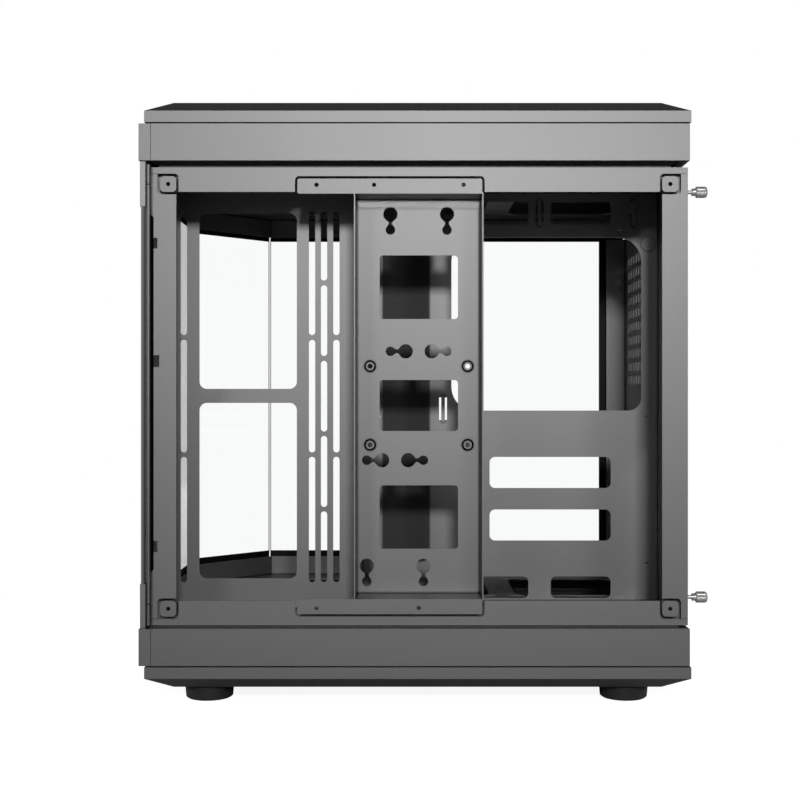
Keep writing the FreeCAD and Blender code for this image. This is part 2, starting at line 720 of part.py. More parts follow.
# Drive bracket: a folded pan set back between the rails, with a flange in each rail's recess
bracket = new_body("drive_bracket")
low = rails_low + of.fit_gap
high = rails_high - of.fit_gap
sketch = new_sketch(bracket, "side", of.rail_depth)
rectangle(sketch, of.bracket_left, low, of.bracket_right, high)
rectangle(sketch, of.bracket_left + of.sheet, low + of.sheet, of.bracket_right - of.sheet, high - of.sheet)
pad(bracket, sketch, of.bracket_depth + of.sheet - of.rail_depth)
sketch = new_sketch(bracket, "side", of.bracket_depth)
rectangle(sketch, of.bracket_left, low, of.bracket_right, high)
pad(bracket, sketch, of.sheet)
sketch = new_sketch(bracket, "side", of.rail_depth)
flange_left = of.recess_left + of.joint_gap
flange_right = of.recess_right - of.joint_gap
corner = of.joint_radius - of.joint_gap
rounded(sketch, flange_left, high - of.sheet, flange_right, chassis_top - of.recess_drop - of.joint_gap, corner)
rounded(sketch, flange_left, chassis_low + of.recess_drop + of.joint_gap, flange_right, low + of.sheet, corner)
pad(bracket, sketch, of.sheet)
sketch = new_sketch(bracket, "side", of.rail_depth + of.sheet / 2)
for end in ("top", "bottom"):
    for place in bracket_holes(end):
        circle(sketch, place, level_from(end, of.rail_height - 5.4), of.screw_hole_radius)
cut(bracket, sketch, of.sheet * 1.6)
# Windows, keyholes for hard drives and ringed holes for flat drives
sketch = new_sketch(bracket, "side", of.bracket_depth + of.sheet / 2)
for bottom, top in ((117, 166.7), (209.4, 249.4), (297.3, 347.2)):
    rounded(sketch, of.bracket_window_left, as_size(bottom), of.bracket_window_right, as_size(top),
            of.bracket_window_radius)
cut(bracket, sketch, of.sheet * 3)
drive_upper = of.bracket_left + 27.4
drive_lower = of.bracket_left + 8.9
keyholes = [(drive_upper, 367.2, 0, 12.3), (drive_upper + 44.45, 367.2, 0, 12.3),
            (drive_upper, 271.95, 12, 0), (drive_upper + 44.45, 271.95, -12, 0),
            (drive_lower, 186.45, 12, 0), (drive_lower + 44.45, 186.45, -12, 0),
            (drive_lower, 91.2, 0, 12.3), (drive_lower + 44.45, 91.2, 0, 12.3)]
sketch = new_sketch(bracket, "side", of.bracket_depth + of.sheet / 2)
for place, height, across, up in keyholes:
    circle(sketch, place, as_size(height), of.key_slot_radius)
    circle(sketch, place + across, as_size(height + up), of.key_radius)
cut(bracket, sketch, of.sheet * 3)
sketch = new_sketch(bracket, "side", of.bracket_depth + of.sheet / 2)
for place, height, across, up in keyholes:
    long = abs(across) + up
    edge = [(2.5, 2.7), (4.5, 1.5), (6.1, 1.5), (long - 4.4, 3.4)]
    outline = edge + [(along, -half) for along, half in edge[::-1]]
    if up:
        polygon(sketch, [(place + half, as_size(height + along)) for along, half in outline])
    else:
        side = across / long
        polygon(sketch, [(place + along * side, as_size(height + half)) for along, half in outline])
cut(bracket, sketch, of.sheet * 3)
flat_drive = of.bracket_left + 11.5
sketch = new_sketch(bracket, "side", of.bracket_depth - 0.4)
for place in (flat_drive, flat_drive + 76.6):
    for height in (198.5, 260.22):
        circle(sketch, place, as_size(height), 4.1)
pad(bracket, sketch, as_size(0.4))
sketch = new_sketch(bracket, "side", of.bracket_depth)
for place in (flat_drive, flat_drive + 76.6):
    for height in (198.5, 260.22):
        circle(sketch, place, as_size(height), 4.7)
        circle(sketch, place, as_size(height), 4.1)
cut(bracket, sketch, as_size(1))
sketch = new_sketch(bracket, "side", of.bracket_depth + of.sheet / 2)
for place in (flat_drive, flat_drive + 76.6):
    for height in (198.5, 260.22):
        circle(sketch, place, as_size(height), 1.9)
cut(bracket, sketch, of.sheet * 3)


# Slot covers inside the rear panel, each with vent slots and a screw at its glass end
for number in range(7):
    cover = new_body("slot_cover_%d" % (number + 1))
    middle = of.first_slot - of.slot_pitch * number
    half = of.cover_width / 2
    sketch = new_sketch(cover, "rear", rear_in - of.sheet)
    rectangle(sketch, of.slot_near - 3, middle - half, cover_screw + 6, middle + half)
    circle(sketch, cover_screw, middle, of.thread_radius + of.fit_gap)
    for across in (0.2, 0.5, 0.8):
        place = of.slot_near + of.slot_reach * across
        slot(sketch, place - 12, middle, place + 12, middle, 2.2)
    pad(cover, sketch, of.sheet)

# Their screws, driven from the rear
screws = new_body("slot_cover_screws")
for number in range(7):
    middle = of.first_slot - of.slot_pitch * number
    turned(screws, "flat", middle,
           [(rear_in - of.sheet * 2, cover_screw), (rear_in - of.sheet * 2, cover_screw + of.thread_radius),
            (of.case_length, cover_screw + of.thread_radius), (of.case_length, cover_screw + 3.2),
            (of.case_length + 1.4, cover_screw + 2.8), (of.case_length + 2, cover_screw + 1.4),
            (of.case_length + 2, cover_screw)],
           (rear_in - of.sheet * 2, cover_screw), (of.case_length + 2, cover_screw))


# Trim bands: a wall with a return at each edge, and lips that seat on the chassis and on the cap or pan
def band(label, end, path):
    body = new_body(label)
    base = high_band if end == "top" else low_band
    top = base + of.band_height
    chassis_side = base if end == "top" else top - of.band_wall
    other_side = top - of.band_wall if end == "top" else base
    lip_depth = of.band_lip_depth
    layers = [(0, of.band_wall, base, of.band_height),
              (0, of.band_return, chassis_side, of.band_wall),
              (0, lip_depth + of.sheet, other_side, of.band_wall)]
    back = of.band_return
    if end == "top":
        layers.append((back - of.sheet, back, chassis_top, of.top_groove))
        layers.append((lip_depth, lip_depth + of.sheet, base - 1, as_size(1)))
        layers.append((lip_depth, lip_depth + of.sheet, top, of.seam_gap))
    else:
        layers.append((back - of.sheet, back, top, of.bottom_groove))
        layers.append((lip_depth, lip_depth + of.sheet, top, as_size(1)))
        layers.append((lip_depth, lip_depth + of.sheet, pan_top, of.seam_gap))
    for outer, inner, height, thickness in layers:
        sketch = new_sketch(body, "flat", height)
        polygon(sketch, path(as_size(outer), as_size(inner)))
        pad(body, sketch, thickness)


def right_path(outer, inner):
    """Along the right side and across the rear."""
    wall = inner.number <= of.band_wall.number
    start = (of.band_end if inner.number < of.band_end.number else inner) + of.fit_gap
    stop = of.case_width - (of.band_wall if wall else of.band_return) - of.fit_gap
    rear = of.case_length
    return [(start, outer), (rear - outer, outer), (rear - outer, stop), (rear - inner, stop),
            (rear - inner, inner), (start, inner)]


def glass_path(outer, inner):
    """Round the front right end, along the front, across the corner and along the glass side."""
    wall = inner.number <= of.band_wall.number
    rear = of.case_length if wall else of.case_length - of.band_wall - of.fit_gap
    out = plan(outer, outer, outer, outer, rear)
    into = plan(inner, inner, inner, inner, rear)
    ends = [(of.band_end, outer), (outer, outer)]
    if inner.number < of.band_end.number:
        back = [(inner, inner), (of.band_end, inner)]
        return ends + [out[4], out[3], out[2], into[2], into[3], into[4]] + back
    start = outer + of.band_wall + of.fit_gap
    return [(outer, start), out[4], out[3], out[2], into[2], into[3], into[4], (inner, start)]


band("top_band_right", "top", right_path)
band("bottom_band_right", "bottom", right_path)
band("top_band_glass", "top", glass_path)
band("bottom_band_glass", "bottom", glass_path)


# Button-head screws at the rear ends of the bands, and thumbscrews for the side panel
screws = new_body("band_screws")
for height in (low_band + of.band_height / 2, high_band + of.band_height / 2):
    for place in (of.band_screw_place, of.case_width - of.band_return - of.band_screw_place):
        rim = of.band_screw_radius
        turned(screws, "flat", height,
               [(of.case_length, place), (of.case_length, place + rim), (of.case_length + 0.7, place + rim),
                (of.case_length + 1.6, place + rim * 0.75), (of.case_length + 2.1, place + rim * 0.4),
                (of.case_length + 1.3, place + rim * 0.36), (of.case_length + 1.3, place)],
               (of.case_length, place), (of.case_length + 1.3, place))
thumbs = new_body("panel_thumbscrews")
for height in (rails_low + 2.6, rails_high):
    place = of.thumb_place
    head = of.thumb_head_radius
    tip = of.case_length + of.thumb_reach
    start = of.case_length
    turned(thumbs, "flat", height,
           [(start, place), (start, place + 1.4), (start + 3.4, place + 1.4), (start + 3.4, place + 2.8),
            (start + 6.2, place + 2.8), (start + 6.2, place + head - 0.6), (start + 7, place + head),
            (tip - 2, place + head), (tip - 0.6, place + head - 0.6), (tip, place + head - 2), (tip, place)],
           (start, place), (tip, place))


# Top cap: a bevelled lid, hollow below, with a ledge for the vent mesh and the front connections' holes
cap = new_body("top_cap")


def lid_plan(inset):
    setback = of.cap_setback + inset
    return plan(setback, setback, setback, as_size(inset), of.case_length + of.cap_overhang - inset)


sketch = new_sketch(cap, "flat", cap_low)
polygon(sketch, lid_plan(as_size(0)))
pad(cap, sketch, of.strip_height)
wide = new_sketch(cap, "flat", cap_low + of.strip_height)
polygon(wide, lid_plan(as_size(0)))
narrow = new_sketch(cap, "flat", cap_top)
polygon(narrow, lid_plan(of.bevel_inset))
loft = cap.newObject("PartDesign::AdditiveLoft", "bevel")
loft.Profile = wide
loft.Sections = [narrow]
loft.Ruled = True
ceiling = cap_top - of.cap_skin
sketch = new_sketch(cap, "flat", cap_low)
polygon(sketch, lid_plan(of.cap_rim))
cut(cap, sketch, (ceiling - cap_low) * 2)
sketch = new_sketch(cap, "flat", cap_top)
rounded(sketch, of.vent_front, of.vent_near, of.vent_rear, of.vent_far, of.vent_corner)
cut(cap, sketch, of.mesh_thickness * 2)
sketch = new_sketch(cap, "flat", cap_top)
ledge = of.vent_ledge
rounded(sketch, of.vent_front + ledge, of.vent_near + ledge, of.vent_rear - ledge, of.vent_far - ledge,
        of.vent_corner)
cut(cap, sketch, of.cap_skin * 3)
sketch = new_sketch(cap, "flat", cap_top)
circle(sketch, of.io_line, of.power_place, of.power_radius + of.fit_gap)
circle(sketch, of.io_line, of.reset_place, of.reset_radius + of.fit_gap)
circle(sketch, of.io_line, of.audio_place, of.audio_radius + of.fit_gap)
slot(sketch, of.io_line, of.type_c_place - 3.2, of.io_line, of.type_c_place + 3.2, 1.9 + of.fit_gap)
port_half = of.usb_width / 2 + of.fit_gap
port_reach = of.usb_length / 2 + of.fit_gap
for place in (of.usb_first_place, of.usb_second_place):
    rectangle(sketch, of.io_line - port_half, place - port_reach, of.io_line + port_half, place + port_reach)
cut(cap, sketch, of.cap_skin * 3)


# Vent meshes: thin plates with a coarse grid of openings
def mesh(label, front, near, rear, far, height, steps, rows):
    body = new_body(label)
    sketch = new_sketch(body, "flat", height)
    rounded(sketch, front, near, rear, far, of.vent_corner - of.fit_gap)
    pad(body, sketch, of.mesh_thickness)
    sketch = new_sketch(body, "flat", height)
    border = of.vent_ledge + 4
    pitch_x = (rear - front - border * 2 + 4) / steps
    pitch_y = (far - near - border * 2 + 4) / rows
    rectangle(sketch, front + border, near + border, front + border + pitch_x - 4, near + border + pitch_y - 4)
    opening = cut(body, sketch, of.mesh_thickness * 3)
    grid(body, opening, ("H_Axis", pitch_x), steps, ("V_Axis", pitch_y), rows)


gap = of.fit_gap
mesh("top_vent_mesh", of.vent_front + gap, of.vent_near + gap, of.vent_rear - gap, of.vent_far - gap,
     cap_top - of.mesh_thickness, 11, 10)

# Bottom pan: the cap's twin turned over, open above, with an opening in its floor
pan = new_body("bottom_pan")
narrow = new_sketch(pan, "flat", of.foot_height)
polygon(narrow, lid_plan(of.bevel_inset))
wide = new_sketch(pan, "flat", of.foot_height + of.bevel_height)
polygon(wide, lid_plan(as_size(0)))
loft = pan.newObject("PartDesign::AdditiveLoft", "bevel")
loft.Profile = narrow
loft.Sections = [wide]
loft.Ruled = True
sketch = new_sketch(pan, "flat", of.foot_height + of.bevel_height)
polygon(sketch, lid_plan(as_size(0)))
pad(pan, sketch, of.strip_height)
floor = of.foot_height + of.cap_skin
sketch = new_sketch(pan, "flat", pan_top)
polygon(sketch, lid_plan(of.cap_rim))
cut(pan, sketch, (pan_top - floor) * 2)
sketch = new_sketch(pan, "flat", floor)
rounded(sketch, of.filter_front, of.filter_near, of.filter_rear, of.filter_far, of.vent_corner)
cut(pan, sketch, of.cap_skin * 3)
ledge = of.vent_ledge
mesh("bottom_vent_mesh", of.filter_front - ledge, of.filter_near - ledge, of.filter_rear + ledge,
     of.filter_far + ledge, floor, 10, 9)


# Rubber feet under the pan
for label, place, depth in (("foot_front_right", of.foot_front, of.foot_near),
                            ("foot_rear_right", of.foot_rear, of.foot_near),
                            ("foot_front_left", of.foot_corner_front, of.foot_corner_far),
                            ("foot_rear_left", of.foot_rear, of.foot_far)):
    foot = new_body(label)
    rim = of.foot_radius
    turned(foot, "side", depth,
           [(place, as_size(0)), (place + rim - 2.2, as_size(0)), (place + rim - 0.9, as_size(1)),
            (place + rim, of.foot_height - 1.5), (place + rim, of.foot_height), (place, of.foot_height)],
           (place, as_size(0)), (place, of.foot_height))


# Tempered glass: front pane, corner pane and left pane, standing on the bottom band and mitred at the joints
def pane(label, corners):
    body = new_body(label)
    sketch = new_sketch(body, "flat", low_band + of.band_height)
    polygon(sketch, corners)
    pad(body, sketch, high_band - low_band - of.band_height - of.fit_gap * 2)


outer = plan(of.glass_gap, of.glass_gap, of.glass_gap, of.glass_edge, of.case_length - 2)
inset = of.glass_gap + of.glass_thickness
inner = plan(inset, inset, inset, of.glass_edge, of.case_length - 2)
joint = of.glass_joint
diagonal = of.glass_joint * 0.70711
pane("front_glass", [outer[0], inner[0], (inner[4][0], inner[4][1] - joint), (outer[4][0], outer[4][1] - joint)])
pane("corner_glass", [(outer[4][0] + diagonal, outer[4][1] + diagonal),
                      (inner[4][0] + diagonal, inner[4][1] + diagonal),
                      (inner[3][0] - diagonal, inner[3][1] - diagonal),
                      (outer[3][0] - diagonal, outer[3][1] - diagonal)])
pane("left_glass", [(outer[3][0] + joint, outer[3][1]), (inner[3][0] + joint, inner[3][1]), inner[2], outer[2]])

# Steel clips over the front pane's right edge, and the strips that back it against the post
pane_low = low_band + of.band_height
pane_high = high_band - of.fit_gap * 2
for label, low in (("front_glass_clip_top", pane_high - of.clip_height), ("front_glass_clip_bottom", pane_low)):
    clip = new_body(label)
    sketch = new_sketch(clip, "flat", low)
    wall = of.clip_wall
    polygon(sketch, [(of.glass_gap, of.clip_reach), (of.glass_gap - wall, of.clip_reach),
                     (of.glass_gap - wall, of.glass_edge - wall), (inset - wall, of.glass_edge - wall),
                     (inset - wall, of.glass_edge), (of.glass_gap, of.glass_edge)])
    pad(clip, sketch, of.clip_height)
backing = new_body("front_glass_strip")
sketch = new_sketch(backing, "side", of.glass_edge + 1)
for low, high in ((pane_low + 2.2, rails_low - 2), (rails_low - 1.2, rails_high + 4.7),
                  (rails_high + 5.5, pane_high - 2)):
    rectangle(sketch, inset, low, of.front_setback, high)
pad(backing, sketch, of.rail_depth + 1)


# Front connections: a housing under the cap with two button wells, and the ports that stand in the cap
housing = new_body("io_housing")
sketch = new_sketch(housing, "flat", ceiling - 13)
rectangle(sketch, of.io_line - 12, of.power_place - 12, of.io_line + 12, of.usb_second_place + 12)
pad(housing, sketch, as_size(13))
well = of.button_travel_room + 3.5
sketch = new_sketch(housing, "flat", ceiling)
circle(sketch, of.io_line, of.power_place, of.power_radius + 2.2)
circle(sketch, of.io_line, of.reset_place, of.reset_radius + 2.2)
cut(housing, sketch, well * 2)
for label, place in (("usb_port_1", of.usb_first_place), ("usb_port_2", of.usb_second_place)):
    port = new_body(label)
    half = of.usb_width / 2
    reach = of.usb_length / 2
    sketch = new_sketch(port, "flat", ceiling)
    rectangle(sketch, of.io_line - half, place - reach, of.io_line + half, place + reach)
    pad(port, sketch, of.cap_skin)
    sketch = new_sketch(port, "flat", cap_top)
    rectangle(sketch, of.io_line - half + 0.6, place - reach + 0.6, of.io_line + half - 0.6, place + reach - 0.6)
    cut(port, sketch, (of.cap_skin - 0.6) * 2)
    sketch = new_sketch(port, "flat", ceiling)
    rectangle(sketch, of.io_line - half + 1, place - reach + 1.4, of.io_line - half + 2.8, place + reach - 1.4)
    pad(port, sketch, of.cap_skin - 0.4)
type_c = new_body("usb_c_port")
sketch = new_sketch(type_c, "flat", ceiling)
slot(sketch, of.io_line, of.type_c_place - 3.2, of.io_line, of.type_c_place + 3.2, 1.9)
pad(type_c, sketch, of.cap_skin)
sketch = new_sketch(type_c, "flat", cap_top)
slot(sketch, of.io_line, of.type_c_place - 3.2, of.io_line, of.type_c_place + 3.2, 1.5)
cut(type_c, sketch, (of.cap_skin - 0.6) * 2)
sketch = new_sketch(type_c, "flat", ceiling)
rectangle(sketch, of.io_line - 0.35, of.type_c_place - 3, of.io_line + 0.35, of.type_c_place + 3)
pad(type_c, sketch, of.cap_skin - 0.4)
jack = new_body("audio_jack")
sketch = new_sketch(jack, "flat", ceiling)
circle(sketch, of.io_line, of.audio_place, of.audio_radius)
circle(sketch, of.io_line, of.audio_place, 1.75)
pad(jack, sketch, of.cap_skin)

# Buttons: a cap through the lid on a wider foot that keeps it in
for label, place, radius in (("power_button", of.power_place, of.power_radius),
                             ("reset_button", of.reset_place, of.reset_radius)):
    button = new_body(label)
    foot_top = ceiling - 0.4
    axis = of.io_line
    turned(button, "rear", axis,
           [(place, foot_top - 2.4), (place + radius + 1.4, foot_top - 2.4), (place + radius + 1.4, foot_top),
            (place + radius, foot_top), (place + radius, cap_top - 0.4), (place + radius - 0.4, cap_top),
            (place + radius * 0.6, cap_top), (place, cap_top - 0.3)],
           (place, foot_top - 2.4), (place, cap_top - 0.3))


# Every piece is whole before it is written
doc.recompute()
os.makedirs("parts", exist_ok=True)
for thing in doc.Objects:
    if "Invalid" in thing.State or "Error" in thing.State:
        raise RuntimeError("%s in %s failed" % (thing.Name, [p.Label for p in thing.InList][:3]))
for body in doc.findObjects("PartDesign::Body"):
    if body.Shape.isNull() or not body.Shape.isValid():
        raise RuntimeError(body.Label + " is not a valid shape")
    body.Shape.exportStep("parts/%s.step" % body.Label)
    print(body.Label, len(body.Shape.Solids), round(body.Shape.Volume))
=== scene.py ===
import bpy
import json
import math
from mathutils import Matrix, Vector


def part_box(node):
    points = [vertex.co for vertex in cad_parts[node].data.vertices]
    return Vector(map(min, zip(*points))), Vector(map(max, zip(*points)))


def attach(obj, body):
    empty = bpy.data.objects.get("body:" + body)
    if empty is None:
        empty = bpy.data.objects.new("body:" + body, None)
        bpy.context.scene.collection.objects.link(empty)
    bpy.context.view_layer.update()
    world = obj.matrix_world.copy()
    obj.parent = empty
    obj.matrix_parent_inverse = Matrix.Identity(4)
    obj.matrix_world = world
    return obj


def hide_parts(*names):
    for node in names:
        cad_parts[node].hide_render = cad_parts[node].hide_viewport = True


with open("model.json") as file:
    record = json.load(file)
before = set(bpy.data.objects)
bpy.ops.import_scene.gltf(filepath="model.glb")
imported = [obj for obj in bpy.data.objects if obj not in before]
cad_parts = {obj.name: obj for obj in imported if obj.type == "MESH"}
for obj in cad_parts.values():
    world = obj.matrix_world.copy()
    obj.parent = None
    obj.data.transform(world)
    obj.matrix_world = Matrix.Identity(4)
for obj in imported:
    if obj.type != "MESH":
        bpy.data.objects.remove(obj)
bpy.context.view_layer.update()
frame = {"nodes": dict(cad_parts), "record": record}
nodes = frame["nodes"]


# Chassis: cold-rolled steel sheet 1 mm thick, punched, folded and joined by gussets at the corners.
# The sheets, the drive bracket and the slot covers are sprayed with metallic powder and baked,
# which rounds every cut edge a little.
def srgb(hex_colour):
    """A hex colour as the linear colour that the shader sockets take."""
    channels = [int(hex_colour[i:i + 2], 16) / 255 for i in (1, 3, 5)]
    return [c / 12.92 if c <= 0.04045 else ((c + 0.055) / 1.055) ** 2.4 for c in channels] + [1.0]


def add_node(tree, kind, inputs=None, ramp=(), **settings):
    """A node with its inputs linked or set, its colour ramp and its settings; names use _ for a space."""
    node = tree.nodes.new(kind)
    for name, value in settings.items():
        socket = name.replace("_", " ")
        if socket in node.inputs:
            node.inputs[socket].default_value = value
        else:
            setattr(node, name, value)
    for element, (position, colour) in enumerate(ramp):
        node.color_ramp.elements[element].position = position
        node.color_ramp.elements[element].color = colour
    for name, given in (inputs or {}).items():
        if isinstance(given, bpy.types.NodeSocket):
            tree.links.new(given, node.inputs[name])
        else:
            node.inputs[name].default_value = given
    return node


def new_material(name):
    material = bpy.data.materials.new(name)
    material.use_nodes = True
    return material, material.node_tree, material.node_tree.nodes["Principled BSDF"]


def coat_nodes(material, names):
    for name in names:
        mesh = nodes[name].data
        mesh.materials.clear()
        mesh.materials.append(material)


def shades(colour, spread):
    """The ends of a ramp over a noise's usual range, a little darker and lighter than the colour."""
    dark, light = [[c * share for c in srgb(colour)[:3]] + [1.0] for share in (1 - spread, 1 + spread)]
    return (0.3, dark), (0.7, light)


def metallic_powder(name, colour, roughness, peel_mm, edge_mm):
    """Baked metallic powder: flakes, orange peel, a slow drift of sheen, soft edges and painted shade in
    joints.
    """
    material, tree, shader = new_material(name)
    shader.inputs["Metallic"].default_value = 1.0
    place = add_node(tree, "ShaderNodeTexCoord").outputs["Object"]
    # Real flakes are finer, and these are drawn a quarter of a millimetre wide so that they show
    flakes_per_mm = 4.2
    flake = add_node(tree, "ShaderNodeTexNoise", {"Vector": place}, Scale=1000 * flakes_per_mm, Detail=1.0)
    tint = add_node(tree, "ShaderNodeValToRGB", {"Fac": flake.outputs["Fac"]}, shades(colour, spread=0.10))
    # Painted shade: an occlusion mask darkens the colour nearly to black in joints and hollows a millimetre
    # or two wide
    joint_shade_mm = 2.2
    reach = add_node(tree, "ShaderNodeAmbientOcclusion", Distance=joint_shade_mm / 1000, samples=4)
    cover = add_node(tree, "ShaderNodeMapRange", {"Value": reach.outputs["AO"]},
                     From_Min=0.66, From_Max=0.86, To_Min=0.02, To_Max=1.0)
    powder = add_node(tree, "ShaderNodeVectorMath", {0: tint.outputs["Color"],
                                                     "Scale": cover.outputs["Result"]}, operation="SCALE")
    tree.links.new(powder.outputs["Vector"], shader.inputs["Base Color"])
    # The sheen drifts about every 140 mm, as the passes of the spray gun overlap
    drifts_per_mm = 0.007
    drift = add_node(tree, "ShaderNodeTexNoise", {"Vector": place}, Scale=1000 * drifts_per_mm, Detail=2.0)
    sheen = add_node(tree, "ShaderNodeMapRange", {"Value": drift.outputs["Fac"]},
                     To_Min=roughness - 0.015, To_Max=roughness + 0.015)
    tree.links.new(sheen.outputs["Result"], shader.inputs["Roughness"])
    peel = add_node(tree, "ShaderNodeTexNoise", {"Vector": place}, Scale=1000 / peel_mm, Detail=2.0)
    edge = add_node(tree, "ShaderNodeBevel", Radius=edge_mm / 1000)
    bump = add_node(tree, "ShaderNodeBump", {"Height": peel.outputs["Fac"],
                                             "Normal": edge.outputs["Normal"]},
                    Strength=0.05, Distance=0.0002)
    tree.links.new(bump.outputs["Normal"], shader.inputs["Normal"])
    return material


# Powder-coated steel looks satin grey: flakes and orange peel blur what it mirrors, and its joints carry
# painted shade
coated_steel = metallic_powder("metallic_powder_coated_steel", "#828282", roughness=0.53, peel_mm=0.9,
                               edge_mm=0.12)
coat_nodes(coated_steel, ["top_chassis_plate", "bottom_chassis_plate", "rear_panel", "front_right_post",
                          "motherboard_tray", "corner_gusset_front_top", "corner_gusset_rear_top",
                          "corner_gusset_front_bottom", "corner_gusset_rear_bottom", "drive_bracket",
                          "front_glass_strip"] + ["slot_cover_%d" % number for number in range(1, 8)])


# Standoffs: pillars turned from brass and pressed into the tray, with fine tool marks round them.
# Slot cover and band screws: cold-headed steel, nickel-plated and driven in from outside.
def turned_metal(name, colour, metallic, roughness, marks_mm):
    """Bare or plated metal, broken by fine marks that are drawn coarse enough to show."""
    material, tree, shader = new_material(name)
    shader.inputs["Metallic"].default_value = metallic
    place = add_node(tree, "ShaderNodeTexCoord").outputs["Object"]
    marks = add_node(tree, "ShaderNodeTexNoise", {"Vector": place}, Scale=1000 / marks_mm, Detail=2.0)
    tint = add_node(tree, "ShaderNodeValToRGB", {"Fac": marks.outputs["Fac"]}, shades(colour, spread=0.06))
    tree.links.new(tint.outputs["Color"], shader.inputs["Base Color"])
    sheen = add_node(tree, "ShaderNodeMapRange", {"Value": marks.outputs["Fac"]},
                     To_Min=roughness - 0.06, To_Max=roughness + 0.06)
    tree.links.new(sheen.outputs["Result"], shader.inputs["Roughness"])
    return material


# Turned brass looks warm and bright, and nickel plate pale and satin
brass = turned_metal("turned_brass", "#C9A765", metallic=1.0, roughness=0.3, marks_mm=0.4)
coat_nodes(brass, ["standoffs"])
satin_nickel = turned_metal("satin_nickel_plate", "#DCDCDA", metallic=0.8, roughness=0.3, marks_mm=0.5)
coat_nodes(satin_nickel, ["band_screws", "slot_cover_screws"])


# Cable grommet, feet and the seal along the front post: black rubber, moulded in spark-finished tools.
# The grommet snaps into the tray's opening, the feet are fixed under the pan, and the seal is a soft strip.
def moulded_rubber(name, colour, roughness, shine):
    """Black rubber with the fine grain of its mould."""
    material, tree, shader = new_material(name)
    place = add_node(tree, "ShaderNodeTexCoord").outputs["Object"]
    # The grain of a spark finish is finer, and it is drawn 0.7 mm wide so that it shows
    grains_per_mm = 1.4
    grain = add_node(tree, "ShaderNodeTexNoise", {"Vector": place}, Scale=1000 * grains_per_mm, Detail=3.0)
    tint = add_node(tree, "ShaderNodeValToRGB", {"Fac": grain.outputs["Fac"]}, shades(colour, spread=0.25))
    tree.links.new(tint.outputs["Color"], shader.inputs["Base Color"])
    shader.inputs["Roughness"].default_value = roughness
    shader.inputs["Specular IOR Level"].default_value = shine
    bump = add_node(tree, "ShaderNodeBump", {"Height": grain.outputs["Fac"]},
                    Strength=0.12, Distance=0.0002)
    tree.links.new(bump.outputs["Normal"], shader.inputs["Normal"])
    return material


# Moulded rubber looks matt and nearly black, and the soft seal gives back hardly any light
foot_rubber = moulded_rubber("moulded_black_rubber", "#1E1E1E", roughness=0.65, shine=0.5)
coat_nodes(foot_rubber, ["cable_grommet", "foot_front_right", "foot_rear_right", "foot_front_left",
                         "foot_rear_left"])
coat_nodes(moulded_rubber("soft_black_seal", "#020202", roughness=0.9, shine=0.05), ["glass_seal"])


# Groove shade: four thin black rings round the flat drive's holes, drawn as rubber, as painted shade in the
# grooves.
# Each lies on its hole's raised rim, over the groove, and stands half a millimetre proud of the rim.
ring_radius = 0.00395
cord_radius = 0.0005
cord_flatness = 0.5
ring_lift = 0.00022


def lay_out(piece, moves):
    """The piece moved to its place, then copies of it, each moved on from the one before."""
    placed = []
    for move in moves:
        if placed:
            bpy.ops.object.duplicate()
            piece = bpy.context.object
        bpy.ops.object.mode_set(mode="EDIT")
        bpy.ops.mesh.select_all(action="SELECT")
        bpy.ops.transform.translate(value=move)
        bpy.ops.object.mode_set(mode="OBJECT")
        placed.append(piece)
    return placed


bpy.ops.object.select_all(action="DESELECT")
bpy.ops.mesh.primitive_torus_add(major_radius=ring_radius, minor_radius=cord_radius, major_segments=48,
                                 minor_segments=12, rotation=(math.pi / 2, 0, 0))
bpy.ops.object.transform_apply(location=True, rotation=True, scale=True)
bpy.ops.object.mode_set(mode="EDIT")
bpy.ops.mesh.select_all(action="SELECT")
bpy.ops.transform.resize(value=(1, cord_flatness, 1))
bpy.ops.object.mode_set(mode="OBJECT")
bpy.ops.object.shade_smooth()
first_ring = bpy.context.object
# The rings are black with hardly any shine, so that they paint the grooves in shade
groove_shade_black = moulded_rubber("painted_groove_shade_black", "#040404", roughness=0.8, shine=0.1)
first_ring.data.materials.append(groove_shade_black)
drive_mount = [mount for mount in frame["record"]["mounts"] if mount["name"] == "flat_drive"][0]
holes_across = drive_mount["dims"]["spacing_x_mm"] / 1000
holes_up = drive_mount["dims"]["spacing_y_mm"] / 1000
first_hole = (drive_mount["pos_m"][0] - holes_across / 2, drive_mount["pos_m"][1] - ring_lift,
              drive_mount["pos_m"][2] - holes_up / 2)
ring_moves = [first_hole, (holes_across, 0, 0), (-holes_across, 0, holes_up), (holes_across, 0, 0)]
for corner, ring in enumerate(lay_out(first_ring, ring_moves), 1):
    ring.name = "groove_shade_ring_%d" % corner
    ring.data.name = ring.name
    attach(ring, "case")


# Trim bands: steel strips formed round the top and bottom of the case, clipped and screwed to the chassis.
# They are coated with the chassis's powder, and their folds are a little rounder.
# The coat looks as it does on the chassis, with a softer line along the edges
trim_coat = metallic_powder("metallic_powder_coated_trim", "#828282", roughness=0.53, peel_mm=0.9,
                            edge_mm=0.2)
coat_nodes(trim_coat, ["top_band_right", "top_band_glass", "bottom_band_right", "bottom_band_glass"])


# Cap, pan, buttons and the front connections' housing with its audio jack: moulded plastic, painted to
# match the steel. Cap and pan are snapped onto the chassis, and the housing sits in the cap.
# Painted plastic looks as grey as the powder, with a longer orange peel and rounder edges
painted_plastic = metallic_powder("metallic_painted_plastic", "#828282", roughness=0.53, peel_mm=1.3,
                                  edge_mm=0.25)
coat_nodes(painted_plastic, ["top_cap", "bottom_pan", "io_housing", "power_button", "reset_button",
                             "audio_jack"])


